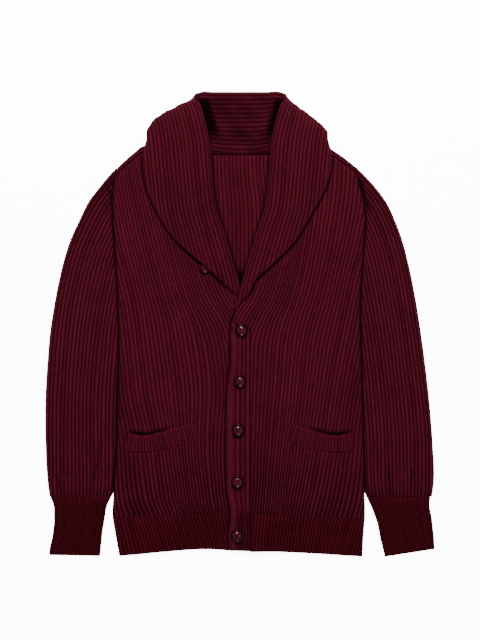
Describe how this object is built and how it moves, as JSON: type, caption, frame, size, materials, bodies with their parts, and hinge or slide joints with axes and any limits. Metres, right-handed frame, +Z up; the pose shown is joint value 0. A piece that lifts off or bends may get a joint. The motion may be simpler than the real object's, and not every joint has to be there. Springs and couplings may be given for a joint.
{
  "type": "shawl collar cardigan",
  "caption": "Long-sleeved shawl collar cardigan in ribbed knit with a button band and two welt pockets, buttoned and laid flat on its back.",
  "frame": {"origin": "centre of the garment's outline, on the surface that it lies on", "axes": "+Y towards the collar, +X towards the wearer's left sleeve, +Z up out of the front"},
  "size_m": [0.6802, 0.8139, 0.0241],
  "materials": {
    "rib_knit": "matte rib knit with a soft nap",
    "rib_trim": "matte fine rib knit",
    "button": "polished, dished, marbled"
  },
  "bodies": {
    "root": {"back": "rib_knit", "hem_back": "rib_trim", "front_right": "rib_knit", "front_left": "rib_knit", "hem_right": "rib_trim", "hem_left": "rib_trim", "band_right": "rib_knit", "band_left": "rib_knit", "shawl_collar": "rib_knit", "sleeve_right": "rib_knit", "sleeve_left": "rib_knit", "cuff_right": "rib_trim", "cuff_left": "rib_trim", "pocket_welt_right": "rib_knit", "pocket_welt_left": "rib_knit", "button_1": "button", "button_2": "button", "button_3": "button", "button_4": "button", "button_5": "button", "button_lapel": "button"}
  },
  "joints": []
}
